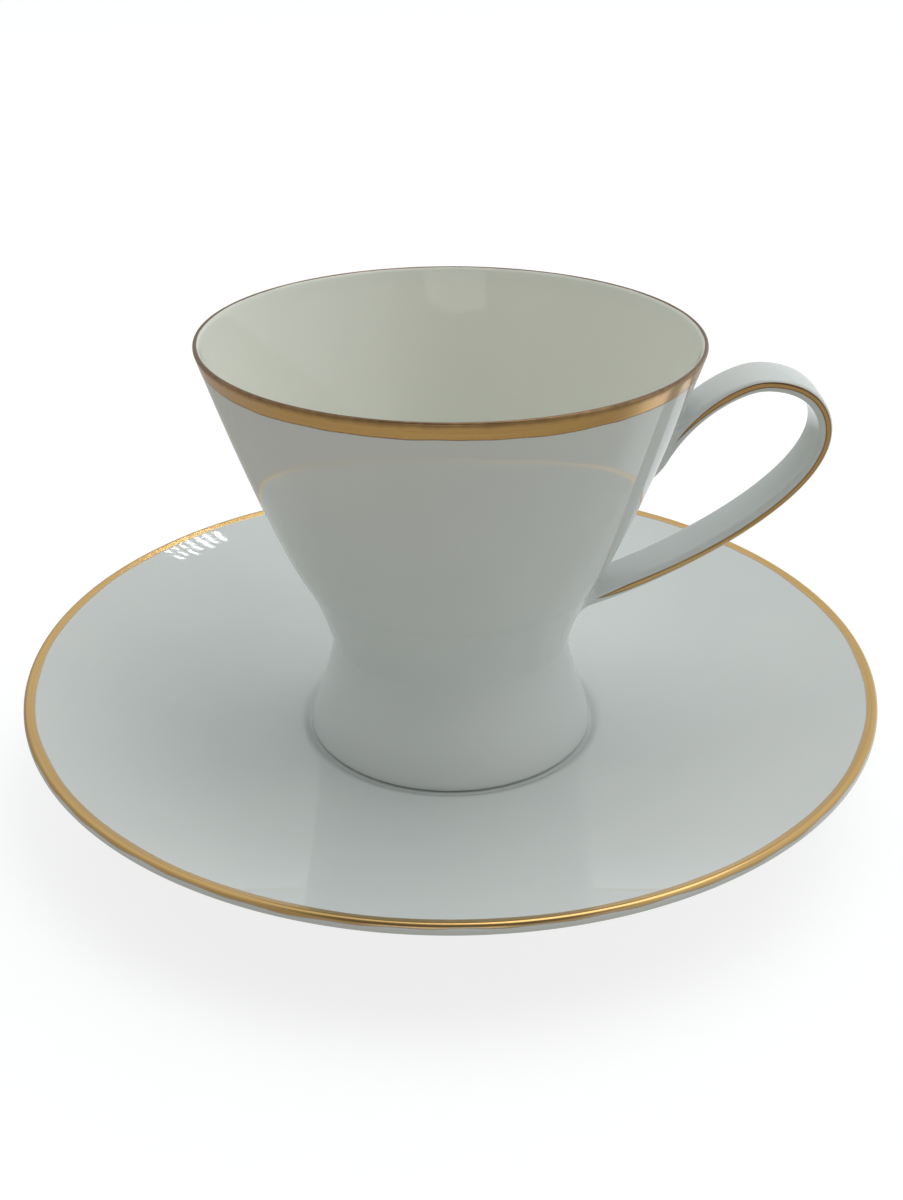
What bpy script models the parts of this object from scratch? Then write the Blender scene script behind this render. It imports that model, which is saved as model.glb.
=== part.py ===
"""Porcelain teacup with a pedestal foot and a strap handle, on its saucer, with gilt edges.

Metres, +Z up.  The origin is on the table under the middle of the saucer's foot ring,
which is also the cup's axis, and the handle reaches along +X.  Nothing but the cup as a
whole moves: it lifts straight up off the saucer.
"""

import math

import bmesh
import bpy
from mathutils import Vector

MM = 0.001

# Clearance between pieces that touch, and the thickness given to the gilding
GAP = 0.3 * MM
FILM = 0.2 * MM

# A PULL is how far a curve's control point stands from the end that it belongs to

# Saucer
SAUCER_RADIUS = 75.0 * MM
SAUCER_GILT_RADIUS = 72.85 * MM
SAUCER_GILT_HEIGHT = 18.6 * MM
SAUCER_CREST_RADIUS = 74.0 * MM
SAUCER_CREST_HEIGHT = 19.1 * MM
SAUCER_CREST_PULL = 0.6 * MM
SAUCER_EDGE_HEIGHT = 17.9 * MM
SAUCER_EDGE_PULL = 0.7 * MM
SAUCER_DISH_ANGLE = math.radians(22.0)
SAUCER_UNDER_ANGLE = math.radians(28.0)
SAUCER_UNDER_EDGE_PULL = 0.7 * MM
SAUCER_TUCK_INSET = 3.6 * MM
SAUCER_TUCK_DROP = 2.45 * MM
SAUCER_TUCK_PULL = 2.0 * MM
SAUCER_UNDER_PULL = 9.0 * MM
WELL_RADIUS = 26.3 * MM
WELL_SHOULDER = 1.5 * MM
WELL_DEPTH = 0.9 * MM
WELL_SHOULDER_ANGLE = math.radians(6.0)
FOOT_RING_RADIUS = 40.0 * MM
FOOT_RING_WIDTH = 2.6 * MM
FOOT_RING_FLARE = 1.0 * MM
FOOT_RING_HEIGHT = 5.3 * MM
FOOT_RING_TOP_ANGLE = math.radians(10.0)
FOOT_RING_INNER_HEIGHT = 2.4 * MM
FOOT_RING_INNER_FLARE = 0.8 * MM

# Cup: heights are measured from the plane of its foot
CUP_FOOT_PLANE = 6.0 * MM
CUP_HEIGHT = 72.5 * MM
LIP_RADIUS = 41.33 * MM
LIP_THICKNESS = 1.2 * MM
LIP_GILT_HEIGHT = 3.0 * MM
LIP_SLOPE = math.radians(16.7)
LIP_PULL = 7.7 * MM
LIP_INSIDE_PULL = 10.0 * MM
KNEE_RADIUS = 26.03 * MM
KNEE_HEIGHT = 30.71 * MM
KNEE_SLOPE = math.radians(31.0)
KNEE_PULL_UP = 9.3 * MM
KNEE_PULL_DOWN = 4.55 * MM
WAIST_RADIUS = 21.17 * MM
WAIST_HEIGHT = 17.5 * MM
WAIST_PULL_UP = 1.4 * MM
WAIST_PULL_DOWN = 5.8 * MM
BOWL_FLOOR_HEIGHT = 21.0 * MM
BOWL_FLOOR_PULL = 14.0 * MM
BOWL_WALL = 2.3 * MM
BOWL_FLANK_RISE = 1.2 * MM
BOWL_FLANK_PULL = 9.0 * MM
FOOT_RADIUS = 25.62 * MM
FOOT_TOE_HEIGHT = 0.8 * MM
FOOT_TOE_INSET = 0.2 * MM
FOOT_TOE_PULL = 2.0 * MM
FOOT_TOE_CHAMFER = 0.7 * MM
FOOT_WALL = 2.6 * MM

# Handle: a strap whose middle line runs through four knots, given as (reach, height)
STRAP_WIDTH = 10.0 * MM
STRAP_THICKNESS = 2.5 * MM
STRAP_EDGE_RADIUS = 0.6 * MM
STRAP_TOP_ROOT = (34.6 * MM, 51.2 * MM)
STRAP_TOP_SLOPE = math.radians(65.2)
STRAP_TOP_PULL = 11.4 * MM
STRAP_PEAK = (50.95 * MM, 65.1 * MM)
STRAP_PEAK_PULL_IN = 2.5 * MM
STRAP_PEAK_PULL_OUT = 9.3 * MM
STRAP_REACH = (61.74 * MM, 56.54 * MM)
STRAP_REACH_PULL_UP = 2.5 * MM
STRAP_REACH_PULL_DOWN = 11.9 * MM
STRAP_LOW_ROOT = (24.0 * MM, 25.8 * MM)
STRAP_LOW_SLOPE = math.radians(19.9)
STRAP_LOW_PULL = 13.5 * MM
STRAP_TUCK_SLOPE = math.radians(24.0)
STRAP_TUCK = 4.0 * MM
STRAP_GILT_WIDTH = 1.2 * MM
REBATE_OVERCUT = 1.0 * MM

# Facets round the turned pieces, and along each curve
CUP_STEPS = 48
SAUCER_STEPS = 64
DISH_STEPS = 7
EDGE_STEPS = 4
WALL_STEPS = 6
STRAP_STEPS = 9
STRAP_EDGE_STEPS = 1

# Distances under which points are one point
SCREW_MERGE = 0.01 * MM
WELD_DISTANCE = 0.002 * MM

GLAZE_COLOUR = (0.78, 0.80, 0.79, 1.0)
GLAZE_ROUGHNESS = 0.08
GILT_COLOUR = (0.72, 0.47, 0.16, 1.0)
GILT_ROUGHNESS = 0.25


# ---------------------------------------------------------------- scene and materials


def clear_scene():
    for item in list(bpy.data.objects):
        bpy.data.objects.remove(item, do_unlink=True)


def new_collection(name):
    collection = bpy.data.collections.new(name)
    bpy.context.scene.collection.children.link(collection)
    return collection


def new_material(name, colour, roughness, metallic):
    material = bpy.data.materials.new(name)
    material.use_nodes = True
    shader = material.node_tree.nodes["Principled BSDF"]
    shader.inputs["Base Color"].default_value = colour
    shader.inputs["Roughness"].default_value = roughness
    shader.inputs["Metallic"].default_value = metallic
    return material


def glaze(name):
    return new_material(name + "_glaze", GLAZE_COLOUR, GLAZE_ROUGHNESS, 0.0)


def gilt(name):
    return new_material(name + "_gilt", GILT_COLOUR, GILT_ROUGHNESS, 1.0)


# ---------------------------------------------------------------- plane curves


def bezier(start, start_control, end_control, end, steps):
    """Points along a cubic curve, both ends included."""
    points = []
    for index in range(steps + 1):
        t = index / steps
        weights = ((1 - t) ** 3, 3 * t * (1 - t) ** 2, 3 * t * t * (1 - t), t ** 3)
        knots = (start, start_control, end_control, end)
        x = sum(weight * knot[0] for weight, knot in zip(weights, knots))
        y = sum(weight * knot[1] for weight, knot in zip(weights, knots))
        points.append((x, y))
    return points


def step_from(point, angle, length):
    """The point at a distance along a direction, measured from the first axis."""
    return (point[0] + length * math.cos(angle), point[1] + length * math.sin(angle))


def offset(points, distance):
    """The same run of points moved sideways, to the right of its direction."""
    moved = []
    for index, point in enumerate(points):
        before = Vector(points[max(index - 1, 0)])
        after = Vector(points[min(index + 1, len(points) - 1)])
        along = (after - before).normalized()
        moved.append((point[0] + along.y * distance, point[1] - along.x * distance))
    return moved


def raised(points, height):
    return [(x, z + height) for x, z in points]


# ---------------------------------------------------------------- solids


def turned(name, points, steps, collection, closed):
    """A profile of (radius, height) points, turned about the Z axis by a Screw modifier."""
    mesh = bpy.data.meshes.new(name)
    count = len(points)
    edges = [(index, index + 1) for index in range(count - 1)]
    if closed:
        edges.append((count - 1, 0))
    mesh.from_pydata([(radius, 0.0, height) for radius, height in points], edges, [])
    piece = bpy.data.objects.new(name, mesh)
    collection.objects.link(piece)
    screw = piece.modifiers.new("turn", "SCREW")
    screw.axis = "Z"
    screw.steps = steps
    screw.render_steps = steps
    screw.use_merge_vertices = True
    screw.merge_threshold = SCREW_MERGE
    screw.use_smooth_shade = True
    return piece


def flat_outline(name, points, half_width, edge_radius, collection):
    """A closed outline of (reach, height) points, given a width along Y and round edges."""
    curve = bpy.data.curves.new(name, "CURVE")
    curve.dimensions = "2D"
    curve.fill_mode = "BOTH"
    curve.extrude = half_width - edge_radius
    curve.bevel_depth = edge_radius
    curve.bevel_resolution = STRAP_EDGE_STEPS
    curve.offset = -edge_radius
    curve.render_resolution_u = 0
    spline = curve.splines.new("POLY")
    spline.points.add(len(points) - 1)
    for knot, (reach, height) in zip(spline.points, points):
        knot.co = (reach, height, 0.0, 1.0)
    spline.use_cyclic_u = True
    piece = bpy.data.objects.new(name, curve)
    piece.rotation_euler = (math.radians(90.0), 0.0, 0.0)
    collection.objects.link(piece)
    return piece


def as_mesh(piece, collection):
    """A curve object turned into a closed mesh object of the same name and place."""
    bpy.context.view_layer.update()
    evaluated = piece.evaluated_get(bpy.context.evaluated_depsgraph_get())
    mesh = bpy.data.meshes.new_from_object(evaluated)
    welded = bmesh.new()
    welded.from_mesh(mesh)
    bmesh.ops.remove_doubles(welded, verts=welded.verts, dist=WELD_DISTANCE)
    bmesh.ops.recalc_face_normals(welded, faces=welded.faces)
    welded.to_mesh(mesh)
    welded.free()
    place = piece.matrix_world.copy()
    name = piece.name
    bpy.data.objects.remove(piece, do_unlink=True)
    mesh.name = name
    solid = bpy.data.objects.new(name, mesh)
    solid.matrix_world = place
    collection.objects.link(solid)
    return solid


def as_cutter(piece):
    piece.hide_render = True
    piece.display_type = "WIRE"
    return piece


def cut(piece, cutter):
    boolean = piece.modifiers.new("cut by " + cutter.name, "BOOLEAN")
    boolean.operation = "DIFFERENCE"
    boolean.solver = "EXACT"
    boolean.object = cutter


def finish(piece, material, parent):
    piece.data.materials.append(material)
    piece.parent = parent
    piece.matrix_parent_inverse = parent.matrix_world.inverted()


# ---------------------------------------------------------------- saucer


def dish_points(steps):
    """The saucer's upper surface, from the well's shoulder out to the edge of the gold."""
    shoulder = (WELL_RADIUS + WELL_SHOULDER, CUP_FOOT_PLANE - GAP + WELL_DEPTH)
    rim = (SAUCER_GILT_RADIUS, SAUCER_GILT_HEIGHT)
    third = (rim[0] - shoulder[0]) / 3
    shoulder_control = step_from(shoulder, WELL_SHOULDER_ANGLE, third)
    rim_control = step_from(rim, math.pi + SAUCER_DISH_ANGLE, third)
    return bezier(shoulder, shoulder_control, rim_control, rim, steps)


def saucer_edge_points(steps):
    """The gilded part of the rim, over the crest and down to the widest point."""
    crest = (SAUCER_CREST_RADIUS, SAUCER_CREST_HEIGHT)
    widest = (SAUCER_RADIUS, SAUCER_EDGE_HEIGHT)
    crest_control = step_from(crest, SAUCER_DISH_ANGLE, SAUCER_CREST_PULL)
    widest_control = (widest[0], widest[1] + SAUCER_EDGE_PULL)
    return bezier(crest, crest_control, widest_control, widest, steps)


def underside_points(steps):
    """From just below the gold under the rim and in to the top of the foot ring."""
    widest = (SAUCER_RADIUS, SAUCER_EDGE_HEIGHT - GAP)
    tuck = (SAUCER_RADIUS - SAUCER_TUCK_INSET, SAUCER_EDGE_HEIGHT - SAUCER_TUCK_DROP)
    widest_control = (widest[0], widest[1] - SAUCER_UNDER_EDGE_PULL)
    tuck_control = step_from(tuck, SAUCER_UNDER_ANGLE, SAUCER_TUCK_PULL)
    edge = bezier(widest, widest_control, tuck_control, tuck, steps)
    ring = (FOOT_RING_RADIUS + FOOT_RING_FLARE, FOOT_RING_HEIGHT)
    inward = step_from(tuck, math.pi + SAUCER_UNDER_ANGLE, SAUCER_UNDER_PULL)
    outward = step_from(ring, FOOT_RING_TOP_ANGLE, SAUCER_UNDER_PULL)
    return edge + bezier(tuck, inward, outward, ring, steps)[1:]


def make_saucer(collection, parent):
    gilded = [(SAUCER_GILT_RADIUS, SAUCER_GILT_HEIGHT)] + saucer_edge_points(EDGE_STEPS)
    band = gilded + list(reversed(offset(gilded, FILM)))
    gold = turned("saucer_rim_gilding", band, SAUCER_STEPS, collection, True)
    finish(gold, gilt("saucer_rim_gilding"), parent)

    dish_end = step_from(gilded[0], math.pi + SAUCER_DISH_ANGLE, GAP)
    edge_start = (SAUCER_RADIUS, SAUCER_EDGE_HEIGHT - GAP)
    rebate = offset([dish_end] + gilded[1:-1] + [edge_start], FILM + GAP)
    well_floor = CUP_FOOT_PLANE - GAP
    top = [(0.0, well_floor), (WELL_RADIUS, well_floor)] + dish_points(DISH_STEPS)[:-1] + [dish_end]
    ring_inner = FOOT_RING_RADIUS - FOOT_RING_WIDTH
    ring = [
        (FOOT_RING_RADIUS, 0.0),
        (ring_inner, 0.0),
        (ring_inner - FOOT_RING_INNER_FLARE, FOOT_RING_INNER_HEIGHT),
        (0.0, FOOT_RING_INNER_HEIGHT),
    ]
    profile = top + rebate + underside_points(EDGE_STEPS) + ring
    plate = turned("saucer_plate", profile, SAUCER_STEPS, collection, False)
    finish(plate, glaze("saucer_plate"), parent)


# ---------------------------------------------------------------- cup


def bowl_wall_points(steps):
    """The bowl's outer wall from the lip down to the waist."""
    lip = (LIP_RADIUS, CUP_HEIGHT)
    knee = (KNEE_RADIUS, KNEE_HEIGHT)
    waist = (WAIST_RADIUS, WAIST_HEIGHT)
    down_lip = -math.pi / 2 - LIP_SLOPE
    down_knee = -math.pi / 2 - KNEE_SLOPE
    knee_above = step_from(knee, down_knee + math.pi, KNEE_PULL_UP)
    upper = bezier(lip, step_from(lip, down_lip, LIP_PULL), knee_above, knee, steps)
    waist_control = (waist[0], waist[1] + WAIST_PULL_UP)
    lower = bezier(knee, step_from(knee, down_knee, KNEE_PULL_DOWN), waist_control, waist, steps)
    return upper + lower[1:]


def bowl_inside_points(steps):
    """From the middle of the bowl's floor up the inside to the lip."""
    floor = (0.0, BOWL_FLOOR_HEIGHT)
    flank = (KNEE_RADIUS - BOWL_WALL, KNEE_HEIGHT + BOWL_FLANK_RISE)
    lip = (LIP_RADIUS - LIP_THICKNESS, CUP_HEIGHT)
    flank_control = step_from(flank, -math.pi / 2 - KNEE_SLOPE, BOWL_FLANK_PULL)
    bottom = bezier(floor, (BOWL_FLOOR_PULL, BOWL_FLOOR_HEIGHT), flank_control, flank, steps)
    wall_control = step_from(flank, math.pi / 2 - KNEE_SLOPE, BOWL_FLANK_PULL)
    lip_control = step_from(lip, -math.pi / 2 - LIP_SLOPE, LIP_INSIDE_PULL)
    return bottom + bezier(flank, wall_control, lip_control, lip, steps)[1:]


def make_bowl(collection, parent):
    wall = bowl_wall_points(WALL_STEPS)
    gilt_low = (
        LIP_RADIUS - LIP_GILT_HEIGHT * math.tan(LIP_SLOPE),
        CUP_HEIGHT - LIP_GILT_HEIGHT,
    )
    gilded = [(LIP_RADIUS - LIP_THICKNESS, CUP_HEIGHT), (LIP_RADIUS, CUP_HEIGHT), gilt_low]
    film_inside = [
        (gilt_low[0] - FILM, gilt_low[1]),
        (LIP_RADIUS - FILM, CUP_HEIGHT - FILM),
        (LIP_RADIUS - LIP_THICKNESS, CUP_HEIGHT - FILM),
    ]
    band = raised(gilded + film_inside, CUP_FOOT_PLANE)
    gold = turned("cup_rim_gilding", band, CUP_STEPS, collection, True)
    finish(gold, gilt("cup_rim_gilding"), parent)

    sunk = FILM + GAP
    wall_sunk = sunk + GAP * math.tan(LIP_SLOPE)
    inside = bowl_inside_points(WALL_STEPS)
    inside[-1] = (inside[-1][0], CUP_HEIGHT - sunk)
    rebate = [
        (LIP_RADIUS - wall_sunk, CUP_HEIGHT - sunk),
        (gilt_low[0] - wall_sunk, gilt_low[1] - GAP),
        (gilt_low[0] - GAP * math.tan(LIP_SLOPE), gilt_low[1] - GAP),
    ]
    seat = [(WAIST_RADIUS, WAIST_HEIGHT + GAP), (0.0, WAIST_HEIGHT + GAP)]
    profile = raised(inside + rebate + wall[1:-1] + seat, CUP_FOOT_PLANE)
    bowl = turned("cup_bowl", profile, CUP_STEPS, collection, False)
    finish(bowl, glaze("cup_bowl"), parent)


def make_foot(collection, parent):
    waist = (WAIST_RADIUS, WAIST_HEIGHT)
    toe = (FOOT_RADIUS, FOOT_TOE_HEIGHT)
    waist_control = (waist[0], waist[1] - WAIST_PULL_DOWN)
    toe_control = (toe[0] - FOOT_TOE_INSET, toe[1] + FOOT_TOE_PULL)
    outside = bezier(waist, waist_control, toe_control, toe, WALL_STEPS)
    standing_outer = (FOOT_RADIUS - FOOT_TOE_CHAMFER, 0.0)
    standing_inner = (FOOT_RADIUS - FOOT_WALL, 0.0)
    inside = offset(list(reversed(outside)), -FOOT_WALL)
    profile = outside + [standing_outer, standing_inner] + inside[1:]
    foot = turned("cup_foot", raised(profile, CUP_FOOT_PLANE), CUP_STEPS, collection, True)
    finish(foot, glaze("cup_foot"), parent)


# ---------------------------------------------------------------- handle


def strap_middle_line(steps):
    """The strap's middle line from inside the bowl's wall, over the top and back to it."""
    peak_before = (STRAP_PEAK[0] - STRAP_PEAK_PULL_IN, STRAP_PEAK[1])
    peak_after = (STRAP_PEAK[0] + STRAP_PEAK_PULL_OUT, STRAP_PEAK[1])
    reach_before = (STRAP_REACH[0], STRAP_REACH[1] + STRAP_REACH_PULL_UP)
    reach_after = (STRAP_REACH[0], STRAP_REACH[1] - STRAP_REACH_PULL_DOWN)
    rise = step_from(STRAP_TOP_ROOT, STRAP_TOP_SLOPE, STRAP_TOP_PULL)
    landing = step_from(STRAP_LOW_ROOT, STRAP_LOW_SLOPE, STRAP_LOW_PULL)
    line = [step_from(STRAP_TOP_ROOT, STRAP_TUCK_SLOPE, -STRAP_TUCK)]
    line += bezier(STRAP_TOP_ROOT, rise, peak_before, STRAP_PEAK, steps)
    line += bezier(STRAP_PEAK, peak_after, reach_before, STRAP_REACH, steps)[1:]
    line += bezier(STRAP_REACH, reach_after, landing, STRAP_LOW_ROOT, steps)[1:]
    line.append(step_from(STRAP_LOW_ROOT, STRAP_LOW_SLOPE, -STRAP_TUCK))
    return raised(line, CUP_FOOT_PLANE)


def band_outline(line, inner, outer):
    """A closed outline between two distances from the middle line, the loop's outside being +."""
    return offset(line, -outer) + list(reversed(offset(line, -inner)))


def make_handle(collection, cutters, parent):
    line = strap_middle_line(STRAP_STEPS)
    half = STRAP_THICKNESS / 2
    strap_outline = band_outline(line, -half, half)
    strap = flat_outline("cup_handle", strap_outline, STRAP_WIDTH / 2, STRAP_EDGE_RADIUS, collection)
    strap = as_mesh(strap, collection)

    wall = raised(bowl_wall_points(WALL_STEPS), CUP_FOOT_PLANE)
    clearance = offset(wall, -GAP)
    core = [(0.0, clearance[0][1])] + clearance + [(0.0, clearance[-1][1])]
    bowl_cutter = as_cutter(turned("bowl_clearance", core, CUP_STEPS, cutters, False))
    cut(strap, bowl_cutter)
    finish(strap, glaze("cup_handle"), parent)

    gilt_outline = band_outline(line, half - STRAP_GILT_WIDTH, half)
    rebate_outline = band_outline(line, half - STRAP_GILT_WIDTH - GAP, half + REBATE_OVERCUT)
    for side, label in ((1, "front"), (-1, "back")):
        film_middle = STRAP_WIDTH / 2 - FILM / 2
        gold = flat_outline("handle_gilding_" + label, gilt_outline, FILM / 2, 0.0, collection)
        gold.location.y = -side * film_middle
        gold = as_mesh(gold, collection)
        cut(gold, bowl_cutter)
        finish(gold, gilt("handle_gilding_" + label), parent)

        rebate = flat_outline("gilding_rebate_" + label, rebate_outline, FILM + GAP, 0.0, cutters)
        rebate.location.y = -side * STRAP_WIDTH / 2
        cut(strap, as_cutter(as_mesh(rebate, cutters)))


def main():
    clear_scene()
    parts = new_collection("teacup_and_saucer")
    cutters = new_collection("cutters")
    saucer = bpy.data.objects.new("saucer", None)
    parts.objects.link(saucer)
    cup = bpy.data.objects.new("cup_lift_axis", None)
    cup.location.z = CUP_FOOT_PLANE
    cup.parent = saucer
    parts.objects.link(cup)
    bpy.context.view_layer.update()
    make_saucer(parts, saucer)
    make_bowl(parts, cup)
    make_foot(parts, cup)
    make_handle(parts, cutters, cup)


main()
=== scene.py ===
import math

import bpy
import numpy as np
from mathutils import Matrix, Vector


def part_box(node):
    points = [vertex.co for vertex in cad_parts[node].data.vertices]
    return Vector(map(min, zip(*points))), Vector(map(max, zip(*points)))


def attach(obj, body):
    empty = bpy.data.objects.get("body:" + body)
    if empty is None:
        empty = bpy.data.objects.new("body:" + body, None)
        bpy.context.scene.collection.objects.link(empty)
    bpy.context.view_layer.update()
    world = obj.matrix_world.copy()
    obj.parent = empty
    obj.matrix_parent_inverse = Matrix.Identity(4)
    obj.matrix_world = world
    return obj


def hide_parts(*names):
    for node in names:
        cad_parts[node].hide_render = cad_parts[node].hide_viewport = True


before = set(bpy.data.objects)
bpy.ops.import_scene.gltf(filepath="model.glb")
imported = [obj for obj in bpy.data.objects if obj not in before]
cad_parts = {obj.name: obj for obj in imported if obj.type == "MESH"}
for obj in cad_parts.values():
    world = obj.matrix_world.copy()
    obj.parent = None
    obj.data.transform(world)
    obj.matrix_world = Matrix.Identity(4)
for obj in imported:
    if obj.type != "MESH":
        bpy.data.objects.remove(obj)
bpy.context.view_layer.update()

MM = 0.001

# ------------------------------------------------------------------ sizes read from the frame

FOOT_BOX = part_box("cup_foot")
LIP_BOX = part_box("cup_rim_gilding")
HANDLE_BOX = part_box("cup_handle")
EDGE_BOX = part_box("saucer_rim_gilding")

FOOT_PLANE = FOOT_BOX[0].z
FOOT_RADIUS = FOOT_BOX[1].x
WAIST_HEIGHT = FOOT_BOX[1].z
LIP_HEIGHT = LIP_BOX[1].z
LIP_RADIUS = LIP_BOX[1].x
STRAP_HALF_WIDTH = HANDLE_BOX[1].y
SAUCER_RADIUS = EDGE_BOX[1].x

# ------------------------------------------------------------------ sizes of the finer shape

# A PULL is how far a curve's control point stands from the end that it belongs to

# Cup
LIP_SLOPE = math.radians(16.7)
LIP_THICKNESS = 1.05 * MM
LIP_OUTER_DROP = 0.55 * MM
LIP_INNER_DROP = 0.7 * MM
LIP_PULL = 7.7 * MM
LIP_INSIDE_PULL = 10.0 * MM
LIP_ROUND_INNER_PULL = 0.85 * MM
LIP_ROUND_OUTER_PULL = 0.8 * MM
KNEE_RADIUS = 26.03 * MM
KNEE_HEIGHT = FOOT_PLANE + 30.71 * MM
KNEE_SLOPE = math.radians(31.0)
KNEE_PULL_UP = 9.3 * MM
KNEE_PULL_DOWN = 4.55 * MM
WAIST_RADIUS = 21.17 * MM
WAIST_PULL_UP = 1.4 * MM
WAIST_PULL_DOWN = 5.8 * MM
BOWL_FLOOR = FOOT_PLANE + 21.0 * MM
BOWL_FLOOR_PULL = 14.0 * MM
BOWL_WALL = 2.3 * MM
BOWL_FLANK_RISE = 1.2 * MM
BOWL_FLANK_PULL = 9.0 * MM
KILN_WARP = 0.03 * MM
CUP_BARE_HEIGHT = 0.1 * MM

# The cup's foot: its toe is the round edge that it stands on, and it is hollow underneath
FOOT_WALL = 2.6 * MM
TOE_HEIGHT = 0.8 * MM
TOE_INSET = 0.2 * MM
TOE_PULL_UP = 2.0 * MM
TOE_PULL_DOWN = 0.45 * MM
TOE_BULGE = 0.02 * MM
TOE_FACE_INSET = 0.75 * MM
TOE_FACE_PULL = 0.4 * MM
HOLLOW_EDGE_HEIGHT = 0.9 * MM
HOLLOW_EDGE_PULL_IN = 0.35 * MM
HOLLOW_EDGE_PULL_DOWN = 0.4 * MM
HOLLOW_CORNER_DROP = 3.0 * MM
HOLLOW_CORNER_PULL = (-0.1 * MM, 2.0 * MM)
HOLLOW_CEILING_INSET = 3.0 * MM
HOLLOW_CEILING_RISE = 0.2 * MM
HOLLOW_CEILING_PULL = 2.0 * MM

# Saucer
WELL_RADIUS = 26.2 * MM
WELL_SHOULDER = 1.6 * MM
WELL_SHOULDER_ANGLE = math.radians(6.0)
WELL_FLOOR = FOOT_PLANE - 0.14 * MM
WELL_DEPTH = 0.66 * MM
WELL_CORNER_INSET = 0.4 * MM
WELL_CORNER_PULL = 0.5 * MM
WELL_RISE_ANGLE = math.radians(10.0)
WELL_RISE_PULL = 1.0 * MM
EDGE_GILT_RADIUS = 72.85 * MM
EDGE_GILT_HEIGHT = 18.6 * MM
EDGE_CREST_OUT = 1.15 * MM
EDGE_CREST_RISE = 0.47 * MM
EDGE_CREST_PULL = 0.6 * MM
EDGE_WIDEST = 17.9 * MM
EDGE_PULL_UP = 0.7 * MM
EDGE_PULL_DOWN = 0.85 * MM
GLAZE_RADIUS = SAUCER_RADIUS - 0.03 * MM
DISH_ANGLE = math.radians(22.0)
UNDER_ANGLE = math.radians(28.0)
UNDER_PULL = 9.0 * MM
TUCK_INSET = 3.6 * MM
TUCK_DROP = 2.45 * MM
TUCK_PULL = 2.0 * MM

# The saucer's foot ring: its toe is the outer round edge and its heel the inner one
RING_RADIUS = 40.0 * MM
RING_WIDTH = 2.6 * MM
RING_HEIGHT = 2.4 * MM
RING_TOP_HEIGHT = 5.6 * MM
RING_TOP_ANGLE = math.radians(12.0)
RING_TOP_PULL = 1.8 * MM
RING_FLARE = 2.2 * MM
RING_FACE_PULL = 0.3 * MM
RING_ROUND_LEAN = 0.06 * MM
RING_TOE_OUT = 0.15 * MM
RING_TOE_HEIGHT = 0.9 * MM
RING_TOE_INSET = 0.5 * MM
RING_TOE_PULL_OUT = 0.35 * MM
RING_TOE_PULL_UP = 2.0 * MM
RING_TOE_LOW = 0.4 * MM
RING_HEEL_IN = 0.2 * MM
RING_HEEL_HEIGHT = 0.7 * MM
RING_HEEL_INSET = 0.4 * MM
RING_HEEL_LOW = 0.3 * MM
RING_INNER_PULL_IN = 0.2 * MM
RING_INNER_PULL_UP = 1.2 * MM
RING_CEILING_PULL = 1.4 * MM
SAUCER_BARE_HEIGHT = 0.12 * MM

# Gold on the saucer and the lip: where it ends, and how far each of its edges wanders
SAUCER_GOLD_STOP = 0.48 * MM
SAUCER_GOLD_WANDER = (0.07 * MM, 0.10 * MM)
LIP_GOLD_OVERLAP = 0.42 * MM
LIP_GOLD_DROP = 2.95 * MM
LIP_GOLD_WANDER = (0.03 * MM, 0.09 * MM)

# Handle: a strap whose middle line runs through four knots, given as (reach, height)
STRAP_TOP_ROOT = (34.6 * MM, FOOT_PLANE + 51.2 * MM)
STRAP_TOP_SLOPE = math.radians(65.2)
STRAP_TOP_PULL = 11.4 * MM
STRAP_PEAK = (50.95 * MM, FOOT_PLANE + 65.1 * MM)
STRAP_PEAK_PULL_IN = 2.5 * MM
STRAP_PEAK_PULL_OUT = 9.3 * MM
STRAP_REACH = (61.74 * MM, FOOT_PLANE + 56.54 * MM)
STRAP_REACH_PULL_UP = 2.5 * MM
STRAP_REACH_PULL_DOWN = 11.9 * MM
STRAP_LOW_ROOT = (24.0 * MM, FOOT_PLANE + 25.8 * MM)
STRAP_LOW_SLOPE = math.radians(19.9)
STRAP_LOW_PULL = 13.5 * MM
STRAP_LOW_TUCK = 4.0 * MM
STRAP_TUCK = 3.5 * MM
STRAP_TUCK_SLOPE = math.radians(30.0)
STRAP_TUCK_PULL_SLOPE = math.radians(20.0)
STRAP_TUCK_PULL = 1.5 * MM
STRAP_SPACING = 0.5 * MM
STRAP_HALF_THICKNESS = 1.05 * MM
STRAP_CORNER = 0.85 * MM
STRAP_CROWN = 0.2 * MM

# Handle roots: the fillet where they flow into the wall, and the skin that runs on under the glaze
FILLET = 1.8 * MM
SKIN_SINK = 0.012 * MM
SKIN_DIVE = 0.2 * MM
SKIN_DEPTH = 0.7 * MM
SKIN_SPREAD = 1.3 * FILLET
LOW_ROOT_SPAN = (FOOT_PLANE + 21.0 * MM, FOOT_PLANE + 31.5 * MM)
TOP_ROOT_SPAN = (FOOT_PLANE + 42.5 * MM, FOOT_PLANE + 63.0 * MM)

# The block of space that the handle's surface is looked for in
VOXEL = 0.3 * MM
BLOCK_REACH = (17.0 * MM, 65.0 * MM)
BLOCK_SIDE = STRAP_HALF_WIDTH + 3.2 * MM
BLOCK_HEIGHT = (FOOT_PLANE + 19.0 * MM, FOOT_PLANE + 71.0 * MM)

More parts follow.
